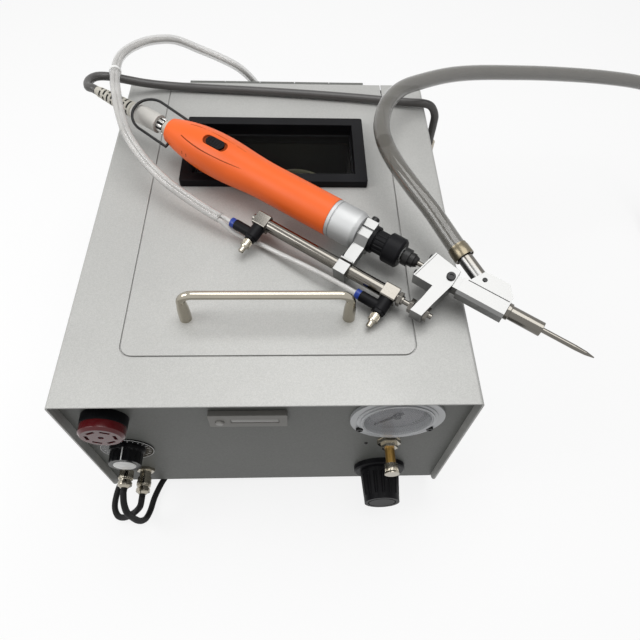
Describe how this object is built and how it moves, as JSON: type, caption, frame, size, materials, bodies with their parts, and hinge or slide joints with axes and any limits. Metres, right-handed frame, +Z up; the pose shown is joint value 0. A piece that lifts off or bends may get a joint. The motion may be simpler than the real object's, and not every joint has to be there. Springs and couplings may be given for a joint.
{
  "type": "automatic screwdriving machine",
  "caption": "Bench screw feeder in a grey steel cabinet with a hinged lid, window and front controls, and a hand-held electric screwdriver with a sliding feed head, joined by hose and cords.",
  "frame": {"origin": "on the table, under the middle of the box round the machine without its cords", "axes": "+Z up, the front panel towards -Y, the gauge's side towards +X"},
  "size_m": [0.8236, 0.4453, 0.2453],
  "materials": {
    "painted_steel": "fine textured silver-grey paint",
    "chassis_paint": "fine textured silver-grey paint",
    "bare_steel": "satin",
    "rubber": "matte",
    "black_plastic": "matte",
    "clear": "clear",
    "nickel": "polished",
    "red_plastic": "gloss",
    "grey_plastic": "matte",
    "gauge_grey": "satin",
    "brass": "satin",
    "bowl": "satin",
    "motor": "satin",
    "mechanism": "satin",
    "circuit": "satin",
    "orange": "matte",
    "aluminium": "satin",
    "dark_steel": "dark",
    "pale_plastic": "satin",
    "clear_tube": "soft clear",
    "grey_cord": "matte",
    "smoke_hose": "soft smoky clear"
  },
  "bodies": {
    "cabinet": {"cover": "painted_steel", "chassis": "chassis_paint", "feet": "rubber", "buzzer_base": "black_plastic", "buzzer_lens": "red_plastic", "speed_scale": "black_plastic", "counter_case": "grey_plastic", "gauge_case": "gauge_grey", "gauge_lens": "clear", "valve_body": "brass", "regulator_body": "black_plastic", "cable_sockets": "nickel", "cable_plugs": "nickel", "screw_bin": "bare_steel", "bowl_motor": "motor", "escapement": "mechanism", "control_unit": "circuit", "power_inlet": "black_plastic", "hose_outlet": "nickel", "cable_grommets": "rubber", "side_fitting": "nickel", "air_sleeve": "clear_tube", "driver_cord": "grey_cord", "screw_hose": "smoke_hose", "left_cable": "rubber", "right_cable": "rubber"},
    "lid": {"lid": "painted_steel", "lid_hinge": "bare_steel", "window_frame": "black_plastic", "window_pane": "clear", "handle": "nickel"},
    "hand_tool": {"shell_upper": "orange", "shell_lower": "orange", "driver_motor": "motor", "front_ring": "aluminium", "driver_plug": "pale_plastic", "clamp_bracket": "aluminium", "air_cylinder": "aluminium", "speed_controllers": "grey_plastic", "rear_air_tube": "clear_tube", "front_air_tube": "clear_tube", "nose_hose": "smoke_hose"},
    "nose": {"piston_rod": "bare_steel", "slide_block": "aluminium", "feed_head": "aluminium", "bit_sleeve": "bare_steel"},
    "bit": {"bit_chuck": "dark_steel", "screwdriver_bit": "bare_steel"},
    "torque_ring": {"torque_ring": "black_plastic"},
    "driver_switch": {"driver_switch": "black_plastic"},
    "hanging_bail": {"hanging_bail": "dark_steel"},
    "rear_adjuster": {"rear_adjuster": "brass"},
    "front_adjuster": {"front_adjuster": "brass"},
    "speed_knob": {"speed_knob": "black_plastic"},
    "regulator_knob": {"regulator_knob": "black_plastic"},
    "valve_knob": {"valve_knob": "nickel"},
    "gauge_needle": {"gauge_needle": "black_plastic"},
    "counter_button": {"counter_button": "grey_plastic"},
    "feed_bowl": {"feed_bowl": "bowl"},
    "power_rocker": {"power_rocker": "red_plastic"}
  },
  "joints": [
    {"name": "lid_open", "type": "hinge", "parent": "cabinet", "child": "lid", "pos_m": [-0.0312, 0.1902, 0.1903], "axis": [-1, 0, 0], "range_deg": [0, 60], "deforming": ["air_sleeve", "driver_cord", "screw_hose"]},
    {"name": "tool_lift", "type": "slide", "parent": "cabinet", "child": "hand_tool", "axis": [0.5924, 0, 0.8057], "range_m": [0, 0.45], "deforming": ["air_sleeve", "driver_cord", "screw_hose"]},
    {"name": "nose_slide", "type": "slide", "parent": "hand_tool", "child": "nose", "axis": [0.8167, -0.5761, -0.0314], "range_m": [0, 0.04], "deforming": ["nose_hose"]},
    {"name": "bit_spin", "type": "hinge", "parent": "hand_tool", "child": "bit", "pos_m": [0.03615, -0.03643, 0.21512], "axis": [0.8167, -0.5761, -0.0314], "continuous": true},
    {"name": "torque_turn", "type": "hinge", "parent": "hand_tool", "child": "torque_ring", "pos_m": [0.05534, -0.04997, 0.21438], "axis": [0.8167, -0.5761, -0.0314], "range_deg": [-150, 150]},
    {"name": "switch_slide", "type": "slide", "parent": "hand_tool", "child": "driver_switch", "axis": [0.8167, -0.5761, -0.0314], "range_m": [-0.003, 0.003]},
    {"name": "bail_swing", "type": "hinge", "parent": "hand_tool", "child": "hanging_bail", "pos_m": [-0.11577, 0.07073, 0.22096], "axis": [0.5655, 0.7885, 0.2418], "range_deg": [0, 120]},
    {"name": "rear_adjuster_turn", "type": "hinge", "parent": "hand_tool", "child": "rear_adjuster", "pos_m": [-0.04807, -0.03639, 0.20518], "axis": [-0.5655, -0.7885, -0.2418], "range_deg": [0, 1800]},
    {"name": "front_adjuster_turn", "type": "hinge", "parent": "hand_tool", "child": "front_adjuster", "pos_m": [0.04912, -0.10495, 0.20144], "axis": [-0.5655, -0.7885, -0.2418], "range_deg": [0, 1800]},
    {"name": "speed_turn", "type": "hinge", "parent": "cabinet", "child": "speed_knob", "pos_m": [-0.1512, -0.1691, 0.096], "axis": [0, 1, 0], "range_deg": [-135, 135]},
    {"name": "regulator_turn", "type": "hinge", "parent": "cabinet", "child": "regulator_knob", "pos_m": [0.0638, -0.1691, 0.042], "axis": [0, 1, 0], "range_deg": [-720, 720]},
    {"name": "valve_turn", "type": "hinge", "parent": "cabinet", "child": "valve_knob", "pos_m": [0.0638, -0.1691, 0.108], "axis": [0, 1, 0], "range_deg": [-720, 0]},
    {"name": "needle_turn", "type": "hinge", "parent": "cabinet", "child": "gauge_needle", "pos_m": [0.0638, -0.1691, 0.155], "axis": [0, 1, 0], "range_deg": [0, 270]},
    {"name": "counter_push", "type": "slide", "parent": "cabinet", "child": "counter_button", "axis": [0, 1, 0], "range_m": [0, 0.0015], "stiffness_N_per_m": 300},
    {"name": "bowl_turn", "type": "hinge", "parent": "cabinet", "child": "feed_bowl", "pos_m": [-0.0132, 0.0784, 0.11], "axis": [0, 0, 1], "continuous": true},
    {"name": "rocker_tip", "type": "hinge", "parent": "cabinet", "child": "power_rocker", "pos_m": [-0.0362, 0.1874, 0.05], "axis": [0, 0, 1], "range_deg": [0, 14]}
  ],
  "couplings": [
    {"joint": "tool_lift", "follows": "lid_open", "m_per_rad": 0.42202}
  ]
}
